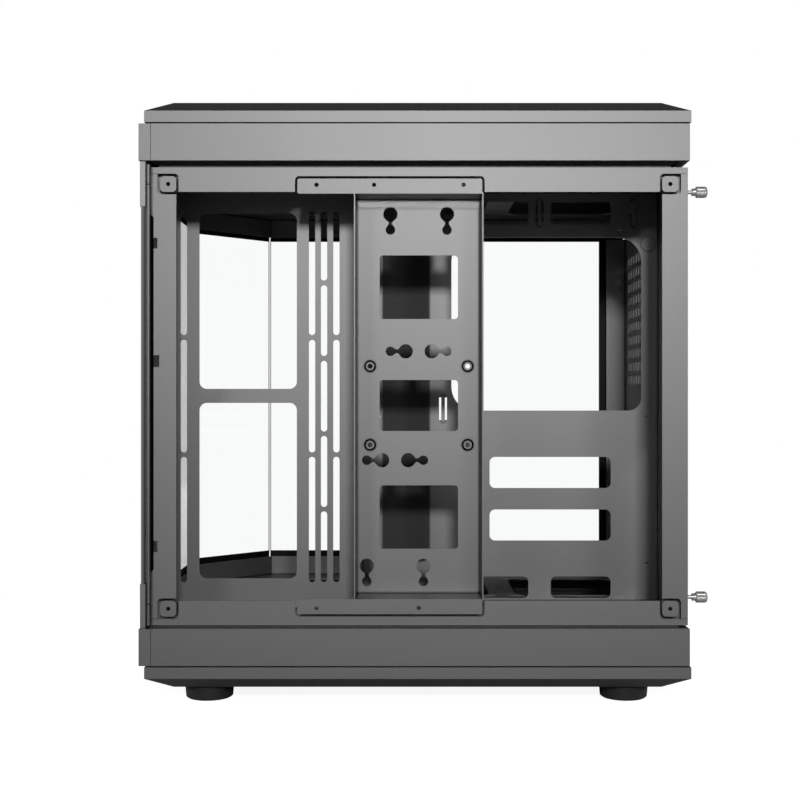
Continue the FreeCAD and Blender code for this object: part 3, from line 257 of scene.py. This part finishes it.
# Vent meshes: steel sheet punched with close six-sided holes in staggered rows inside a plain border.
# The sheet lies in the cap's ledge, and its twin lies on the pan's floor as a dust filter.
hole_pitch = 0.0042
hole_web = 0.0011
plain_border = 0.008
corner_radius = 0.0057
mesh_sheet = 0.0008
mesh_drop = 0.0002
weld = 0.00002


def open_middle(grid):
    """Takes the middle face out of a grid of three by three, and leaves points as what is picked next."""
    middle = 4
    bpy.ops.object.mode_set(mode="EDIT")
    bpy.ops.mesh.select_mode(type="FACE")
    bpy.ops.mesh.select_all(action="DESELECT")
    bpy.ops.object.mode_set(mode="OBJECT")
    grid.data.polygons[middle].select = True
    bpy.ops.object.mode_set(mode="EDIT")
    bpy.ops.mesh.delete(type="ONLY_FACE")
    bpy.ops.mesh.select_mode(type="VERT")
    bpy.ops.object.mode_set(mode="OBJECT")


def thicken(piece, thickness, offset):
    """Gives a flat piece its walls, below it at -1 and on both sides at 0."""
    wall = piece.modifiers.new("thickness", "SOLIDIFY")
    wall.thickness = thickness
    wall.offset = offset
    bpy.ops.object.modifier_apply(modifier=wall.name)


def perforated(name, node):
    low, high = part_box(node)
    rise = hole_pitch * math.sqrt(3)
    across = int((high[0] - low[0] - 2 * plain_border) / hole_pitch) + 1
    deep = int((high[1] - low[1] - 2 * plain_border) / rise) + 1
    start = ((low[0] + high[0] - across * hole_pitch) / 2 + hole_pitch / 4,
             (low[1] + high[1] - deep * rise) / 2 + rise / 4,
             high[2] - mesh_drop)
    # One hole's six-sided frame, repeated along a row, to the row between, and over the depth
    bpy.ops.object.select_all(action="DESELECT")
    bpy.ops.mesh.primitive_circle_add(vertices=6, radius=hole_pitch / math.sqrt(3), fill_type="NGON")
    field = bpy.context.object
    bpy.ops.object.mode_set(mode="EDIT")
    bpy.ops.mesh.select_all(action="SELECT")
    bpy.ops.mesh.inset(thickness=hole_web / 2)
    bpy.ops.mesh.delete(type="ONLY_FACE")
    bpy.ops.mesh.select_all(action="SELECT")
    bpy.ops.transform.translate(value=start)
    bpy.ops.object.mode_set(mode="OBJECT")
    repeats = ((across, (hole_pitch, 0, 0)), (2, (hole_pitch / 2, rise / 2, 0)), (deep, (0, rise, 0)))
    for count, step in repeats:
        array = field.modifiers.new("rows", "ARRAY")
        array.count = count
        array.use_relative_offset = False
        array.use_constant_offset = True
        array.constant_offset_displace = step
        array.use_merge_vertices = True
        array.merge_threshold = weld
        bpy.ops.object.modifier_apply(modifier=array.name)
    thicken(field, mesh_sheet, -1)
    # The plain border round the holes, from a grid whose outer points lie at 1 and inner points at a third
    bpy.ops.object.select_all(action="DESELECT")
    bpy.ops.mesh.primitive_grid_add(x_subdivisions=3, y_subdivisions=3, size=2)
    rim = bpy.context.object
    margin = plain_border + hole_pitch
    for vertex in rim.data.vertices:
        for axis in (0, 1):
            inset = margin if abs(vertex.co[axis]) < 0.5 else 0
            vertex.co[axis] = low[axis] + inset if vertex.co[axis] < 0 else high[axis] - inset
        vertex.co[2] = high[2]
    open_middle(rim)
    corners = [(x, y) for x in (low[0], high[0]) for y in (low[1], high[1])]
    for vertex in rim.data.vertices:
        vertex.select = any(math.dist(vertex.co[:2], corner) < weld for corner in corners)
    bpy.ops.object.mode_set(mode="EDIT")
    bpy.ops.mesh.bevel(offset=corner_radius, segments=5, affect="VERTICES")
    bpy.ops.object.mode_set(mode="OBJECT")
    thicken(rim, high[2] - low[2], -1)
    field.select_set(True)
    rim.select_set(True)
    bpy.context.view_layer.objects.active = rim
    bpy.ops.object.join()
    rim.name = name
    rim.data.name = name
    rim.data.materials.clear()
    rim.data.materials.append(mesh_coat)
    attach(rim, "case")
    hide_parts(node)


# A thin coat on punched sheet looks darker and duller than the chassis
mesh_coat = metallic_powder("powder_coated_mesh", "#4C4C4C", roughness=0.68, peel_mm=0.6, edge_mm=0.1)
perforated("top_vent_perforation", "top_vent_mesh")
perforated("bottom_filter_perforation", "bottom_vent_mesh")


# Glass: three panes of clear float glass 4 mm thick, cut, ground at the edges and tempered.
# They stand between the trim bands and meet at the corner pane. The front pane's near end stays in sight
# as a ground edge in painted light: pale grey at the outside, darker towards the inside.
edge_clearance = 0.0002


def tempered_glass(name, ground_pane=None):
    """Clear glass with a trace of iron green, and with a ground near end where a pane is named."""
    material, tree, shader = new_material(name)
    shader.inputs["Base Color"].default_value = srgb("#FAFCFB")
    # A low index keeps the pane's own reflections faint
    shader.inputs["IOR"].default_value = 1.2
    shader.inputs["Transmission Weight"].default_value = 1.0
    place = add_node(tree, "ShaderNodeTexCoord").outputs["Object"]
    # Clouds of haze about 33 mm wide
    hazes_per_mm = 0.03
    haze = add_node(tree, "ShaderNodeTexNoise", {"Vector": place}, Scale=1000 * hazes_per_mm, Detail=3.0)
    soft = add_node(tree, "ShaderNodeMapRange", {"Value": haze.outputs["Fac"]}, To_Min=0.0, To_Max=0.012)
    tree.links.new(soft.outputs["Result"], shader.inputs["Roughness"])
    surface = shader.outputs["BSDF"]
    if ground_pane:
        low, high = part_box(ground_pane)
        axes = add_node(tree, "ShaderNodeSeparateXYZ", {"Vector": place})
        # Painted light on the ground edge: pale grey at the outside, fading nearly black towards the inside
        depth = add_node(tree, "ShaderNodeMapRange", {"Value": axes.outputs["X"]}, From_Min=low[0],
                         From_Max=high[0] - edge_clearance)
        grey = add_node(tree, "ShaderNodeValToRGB", {"Fac": depth.outputs["Result"]},
                        ((0.0, srgb("#808483")), (0.75, srgb("#040505"))))
        ground = add_node(tree, "ShaderNodeBsdfPrincipled", {"Base Color": grey.outputs["Color"]},
                          Roughness=0.5)
        near = add_node(tree, "ShaderNodeMath", {0: axes.outputs["Y"], 1: low[1] + edge_clearance},
                        operation="LESS_THAN")
        both = add_node(tree, "ShaderNodeMixShader", {"Fac": near.outputs["Value"], 1: surface,
                                                      2: ground.outputs["BSDF"]})
        surface = both.outputs["Shader"]
    # Lamps shine through a pane only onto what is seen through glass, so the open side shows a dim inside
    rays = add_node(tree, "ShaderNodeLightPath")
    inside = add_node(tree, "ShaderNodeMath", {0: rays.outputs["Transmission Depth"], 1: 0.5},
                      operation="GREATER_THAN")
    open_way = add_node(tree, "ShaderNodeMath", {0: rays.outputs["Is Shadow Ray"],
                                                 1: inside.outputs["Value"]}, operation="MULTIPLY")
    clear = add_node(tree, "ShaderNodeBsdfTransparent", Color=srgb("#E8F0EE"))
    passing = add_node(tree, "ShaderNodeMixShader", {"Fac": open_way.outputs["Value"], 1: surface,
                                                     2: clear.outputs["BSDF"]})
    tree.links.new(passing.outputs["Shader"], tree.nodes["Material Output"].inputs["Surface"])
    return material


# Tempered glass looks clear, with a breath of haze and a faint mirror image
coat_nodes(tempered_glass("tempered_clear_glass"), ["corner_glass", "left_glass"])
coat_nodes(tempered_glass("tempered_clear_glass_ground_edge", "front_glass"), ["front_glass"])


# Black border: ceramic enamel screen-printed on the inner face of each pane and fired into it.
# It covers the adhesive and rails at the top and bottom and at the free ends, and is thin at the joints.
enamel_thickness = 0.00006
print_gap = 0.0001
rail_border = 0.0254
front_end_border = 0.022
left_end_border = 0.0239
joint_border = 0.0007
joint_clearance = 0.0021
long_setback = 0.0042
short_setback = 0.0003

# Fired enamel looks black and half matt. The screen's texture is drawn about 1 mm wide so that it shows
enamel, tree, shader = new_material("fired_black_enamel")
threads_per_mm = 0.9
place = add_node(tree, "ShaderNodeTexCoord").outputs["Object"]
screen = add_node(tree, "ShaderNodeTexNoise", {"Vector": place}, Scale=1000 * threads_per_mm, Detail=2.0)
tint = add_node(tree, "ShaderNodeValToRGB", {"Fac": screen.outputs["Fac"]}, shades("#040404", spread=0.2))
tree.links.new(tint.outputs["Color"], shader.inputs["Base Color"])
shader.inputs["Roughness"].default_value = 0.55
shader.inputs["Specular IOR Level"].default_value = 0.2


def printed_border(name, start, end, start_border, end_border):
    low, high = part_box("left_glass")
    run = (end[0] - start[0], end[1] - start[1])
    length = math.hypot(run[0], run[1])
    along = [0, start_border, length - end_border, length]
    up = [low[2] + edge_clearance, low[2] + rail_border, high[2] - rail_border, high[2] - edge_clearance]
    steps = 3
    bpy.ops.object.select_all(action="DESELECT")
    bpy.ops.mesh.primitive_grid_add(x_subdivisions=steps, y_subdivisions=steps, size=steps)
    border = bpy.context.object
    for vertex in border.data.vertices:
        column = round(vertex.co[0] + steps / 2)
        row = round(vertex.co[1] + steps / 2)
        share = along[column] / length
        vertex.co = (start[0] + run[0] * share, start[1] + run[1] * share, up[row])
    open_middle(border)
    thicken(border, enamel_thickness, 0)
    border.name = name
    border.data.name = name
    border.data.materials.append(enamel)
    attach(border, "case")


front_low, front_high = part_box("front_glass")
inner_front = front_high[0] + print_gap
printed_border("front_pane_border", (inner_front, front_low[1] + edge_clearance),
               (inner_front, front_high[1] - joint_clearance), front_end_border, joint_border)
corner_low, corner_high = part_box("corner_glass")
slant_gap = print_gap * math.sqrt(0.5)
corner_start = (corner_low[0] + long_setback + slant_gap, corner_low[1] + short_setback - slant_gap)
corner_end = (corner_high[0] - short_setback + slant_gap, corner_high[1] - long_setback - slant_gap)
printed_border("corner_pane_border", corner_start, corner_end, joint_border, joint_border)
left_low, left_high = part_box("left_glass")
inner_left = left_low[1] - print_gap
printed_border("left_pane_border", (left_low[0] + joint_clearance, inner_left),
               (left_high[0] - edge_clearance, inner_left), joint_border, left_end_border)


# Glass clips: folded steel in the chassis's powder, which hold the front pane at its top and bottom.
# Port shells: steel drawn into boxes and tinned, held in the front connections' housing.
# The clips look a shade paler than the chassis, and tinned steel bright with a soft sheen
clip_coat = metallic_powder("powder_coated_clip", "#8A8A8A", roughness=0.5, peel_mm=0.7, edge_mm=0.2)
coat_nodes(clip_coat, ["front_glass_clip_top", "front_glass_clip_bottom"])
tinned_steel = turned_metal("tinned_steel", "#B4B4B4", metallic=1.0, roughness=0.35, marks_mm=0.6)
coat_nodes(tinned_steel, ["usb_port_1", "usb_port_2", "usb_c_port"])


# Thumbscrews: turned steel, straight-knurled round the head, then nickel-plated as the screws are.
# Each stands out of the rear panel's edge and holds the side panel.
screw_sides = 56
shank_radius = 0.0014
# The share of the radius that is left at the floor of the knurl
knurl_share = 0.965
# How far a step of the turning reaches from the panel, its radius, and whether the knurl runs over it
screw_steps = [(0.0034, 0.0014, False), (0.0034, 0.0028, False), (0.0060, 0.0028, False),
               (0.0062, 0.0036, False), (0.0062, 0.0038, True), (0.0070, 0.0043, True),
               (0.0130, 0.0043, True), (0.0144, 0.0038, True), (0.0148, 0.0028, False),
               (0.0150, 0.0022, False), (0.0145, 0.0017, False), (0.0145, 0.0004, False)]

bpy.ops.object.select_all(action="DESELECT")
bpy.ops.mesh.primitive_circle_add(vertices=screw_sides, radius=shank_radius, rotation=(0, math.pi / 2, 0))
first_screw = bpy.context.object
bpy.ops.object.transform_apply(location=True, rotation=True, scale=True)
bpy.ops.object.mode_set(mode="EDIT")
bpy.ops.mesh.select_mode(type="EDGE")
bpy.ops.mesh.select_all(action="SELECT")
reached = 0.0
radius = shank_radius
for reach, wide, _ in screw_steps:
    bpy.ops.mesh.extrude_region_move(TRANSFORM_OT_translate={"value": (reach - reached, 0, 0)})
    bpy.ops.transform.resize(value=(1, wide / radius, wide / radius))
    reached = reach
    radius = wide
bpy.ops.mesh.edge_face_add()
bpy.ops.mesh.select_all(action="SELECT")
bpy.ops.mesh.normals_make_consistent(inside=False)
bpy.ops.object.mode_set(mode="OBJECT")
# Every second point of the head's rings sinks in to cut the knurl
for ring, (_, _, knurled) in enumerate(screw_steps, 1):
    if knurled:
        for point in range(ring * screw_sides + 1, (ring + 1) * screw_sides, 2):
            first_screw.data.vertices[point].co[1] *= knurl_share
            first_screw.data.vertices[point].co[2] *= knurl_share
first_screw.data.materials.append(satin_nickel)
screws_low, screws_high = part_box("panel_thumbscrews")
head_radius = (screws_high[1] - screws_low[1]) / 2
screw_moves = [(screws_low[0], screws_low[1] + head_radius, screws_low[2] + head_radius),
               (0, 0, screws_high[2] - screws_low[2] - 2 * head_radius)]
for name, screw in zip(("thumbscrew_lower", "thumbscrew_upper"), lay_out(first_screw, screw_moves)):
    screw.name = name
    screw.data.name = name
    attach(screw, "case")
    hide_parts("panel_thumbscrews")


# Studio floor: a smooth white board that fades into the backdrop and keeps the case's shadow.
# Surfaces mirror it as a matt grey, and the part of it under the case glows no more than the shade there.
def shown(tree, rays):
    """1 for what the eye sees at once or through glass, 0 for what a surface mirrors."""
    straight = add_node(tree, "ShaderNodeMath", {0: rays.outputs["Glossy Depth"], 1: 0.5},
                        operation="LESS_THAN")
    through = add_node(tree, "ShaderNodeMath", {0: rays.outputs["Is Transmission Ray"],
                                                1: straight.outputs["Value"]}, operation="MULTIPLY")
    return add_node(tree, "ShaderNodeMath", {0: rays.outputs["Is Camera Ray"], 1: through.outputs["Value"]},
                    operation="MAXIMUM")


bpy.ops.object.select_all(action="DESELECT")
bpy.ops.mesh.primitive_plane_add(size=14, location=(0, 0, 0))
floor = bpy.context.object
floor.name = "studio_floor"
floor_paint, tree, shader = new_material("white_studio_floor")
tree.nodes.remove(shader)
rays = add_node(tree, "ShaderNodeLightPath")
seen = shown(tree, rays)
place = add_node(tree, "ShaderNodeTexCoord").outputs["Object"]
away = add_node(tree, "ShaderNodeVectorMath", {0: place}, operation="LENGTH")
white = add_node(tree, "ShaderNodeMapRange", {"Value": away.outputs["Value"]}, From_Min=0.25, From_Max=0.6,
                 To_Min=0.9, To_Max=1.0)
# 0 under the case, rising to 1 past its ends, behind it and before it
spot = add_node(tree, "ShaderNodeSeparateXYZ", {"Vector": place})
beside = add_node(tree, "ShaderNodeMath", {0: spot.outputs["X"]}, operation="ABSOLUTE")
past_ends = add_node(tree, "ShaderNodeMapRange", {"Value": beside.outputs["Value"]},
                     From_Min=0.17, From_Max=0.2)
behind = add_node(tree, "ShaderNodeMapRange", {"Value": spot.outputs["Y"]}, From_Min=0.1, From_Max=0.14)
before = add_node(tree, "ShaderNodeMapRange", {"Value": spot.outputs["Y"]}, From_Min=-0.03, From_Max=-0.06)
outside = add_node(tree, "ShaderNodeMath", {0: past_ends.outputs["Result"], 1: behind.outputs["Result"]},
                   operation="MAXIMUM")
clear = add_node(tree, "ShaderNodeMath", {0: outside.outputs["Value"], 1: before.outputs["Result"]},
                 operation="MAXIMUM")
shaded = add_node(tree, "ShaderNodeMath", {0: clear.outputs["Value"], 1: white.outputs["Result"]},
                  operation="MULTIPLY")
# Near the case a faint matt board takes its shadow, and farther off there is only the white glow
glow = add_node(tree, "ShaderNodeEmission", {"Strength": shaded.outputs["Value"]}, Color=srgb("#FFFFFF"))
faint = add_node(tree, "ShaderNodeBsdfDiffuse", Color=srgb("#A0A0A0"))
near = add_node(tree, "ShaderNodeAddShader", {0: faint.outputs["BSDF"], 1: glow.outputs["Emission"]})
far = add_node(tree, "ShaderNodeMapRange", {"Value": away.outputs["Value"]}, From_Min=0.35, From_Max=0.6)
lit = add_node(tree, "ShaderNodeMixShader", {"Fac": far.outputs["Result"], 1: near.outputs["Shader"],
                                             2: glow.outputs["Emission"]})
matt = add_node(tree, "ShaderNodeBsdfDiffuse", Color=srgb("#8C8C8C"))
board = add_node(tree, "ShaderNodeMixShader", {"Fac": seen.outputs["Value"], 1: matt.outputs["BSDF"],
                                               2: lit.outputs["Shader"]})
tree.links.new(board.outputs["Shader"], tree.nodes["Material Output"].inputs["Surface"])
floor.data.materials.append(floor_paint)


# Studio room: white to the eye and through glass, and dim where a surface mirrors it.
# Mirrors see a paler front and two bright side panels, and after a first mirroring the room is nearly dark.
world = bpy.context.scene.world or bpy.data.worlds.new("studio")
bpy.context.scene.world = world
world.use_nodes = True
tree = world.node_tree
rays = add_node(tree, "ShaderNodeLightPath")
seen = shown(tree, rays)
around = add_node(tree, "ShaderNodeTexCoord").outputs["Generated"]
way = add_node(tree, "ShaderNodeSeparateXYZ", {"Vector": around})
mirrored = add_node(tree, "ShaderNodeMapRange", {"Value": way.outputs["Y"]}, From_Min=-0.85, From_Max=-0.4,
                    To_Min=0.18, To_Max=0.015)
sideways = add_node(tree, "ShaderNodeMath", {0: way.outputs["X"]}, operation="ABSOLUTE")
panels = add_node(tree, "ShaderNodeMapRange", {"Value": sideways.outputs["Value"],
                                               "To Min": mirrored.outputs["Result"]},
                  From_Min=0.65, From_Max=0.95, To_Max=1.0)
bounced = add_node(tree, "ShaderNodeMapRange", {"Value": rays.outputs["Glossy Depth"]},
                   To_Min=0.25, To_Max=0.02)
dim = add_node(tree, "ShaderNodeMapRange", {"Value": rays.outputs["Transmission Depth"],
                                            "To Min": bounced.outputs["Result"]},
               From_Min=2.0, From_Max=3.0, To_Max=0.25)
other = add_node(tree, "ShaderNodeMapRange", {"Value": rays.outputs["Is Glossy Ray"],
                                              "To Min": dim.outputs["Result"],
                                              "To Max": panels.outputs["Result"]})
level = add_node(tree, "ShaderNodeMapRange", {"Value": seen.outputs["Value"],
                                              "To Min": other.outputs["Result"]}, To_Max=1.0)
background = tree.nodes["Background"]
background.inputs["Color"].default_value = srgb("#FFFFFF")
tree.links.new(level.outputs["Result"], background.inputs["Strength"])


# Lamps: a key light in front and above with a weak one on each side, and one for each other side.
# A slim strip close to the drive bracket lifts the shade that its upper flange throws on it.
def lamp(name, place, aim, size, energy, spread=180):
    bpy.ops.object.light_add(type="AREA", location=place)
    light = bpy.context.object
    light.name = name
    light.data.shape = "RECTANGLE"
    light.data.size, light.data.size_y = size
    light.data.energy = energy
    light.data.spread = math.radians(spread)
    light.visible_camera = False
    light.visible_transmission = False
    back = [place[axis] - aim[axis] for axis in range(3)]
    level = math.hypot(back[0], back[1])
    light.rotation_euler = (math.atan2(level, back[2]), 0, math.atan2(back[0], -back[1]))


middle = (0, 0, 0.25)
lamp("key_light", (0.11, -1.95, 0.83), (0.02, 0, 0.25), (0.22, 0.2), 16.5)
lamp("key_right", (0.8, -1.78, 0.8), (0.1, 0, 0.25), (0.3, 0.22), 2.8)
lamp("key_left", (-0.85, -1.75, 0.8), (-0.1, 0, 0.25), (0.3, 0.22), 4.0)
lamp("bracket_strip_light", (-0.004, -0.2, 0.3873), (-0.004, 0, 0.3873), (0.096, 0.0052), 0.0008, spread=2)
lamp("rear_panel_light", (2.1, 0.1, 0.75), middle, (0.5, 0.4), 13)
lamp("front_glass_light", (-2.1, 0.1, 0.75), middle, (0.5, 0.4), 11)
lamp("left_glass_light", (0.2, 2.3, 0.7), middle, (0.5, 0.4), 15)


# Camera: level with the middle of the case and square to its open side.
bpy.ops.object.camera_add(location=(-0.0107, -1.091, 0.2345), rotation=(math.pi / 2, 0, 0))
camera = bpy.context.object
camera.data.sensor_width = 36
camera.data.lens = 56.25
camera.data.shift_x = -0.0125
camera.data.shift_y = -0.00125
bpy.context.scene.camera = camera
bpy.context.scene.view_settings.view_transform = "Standard"
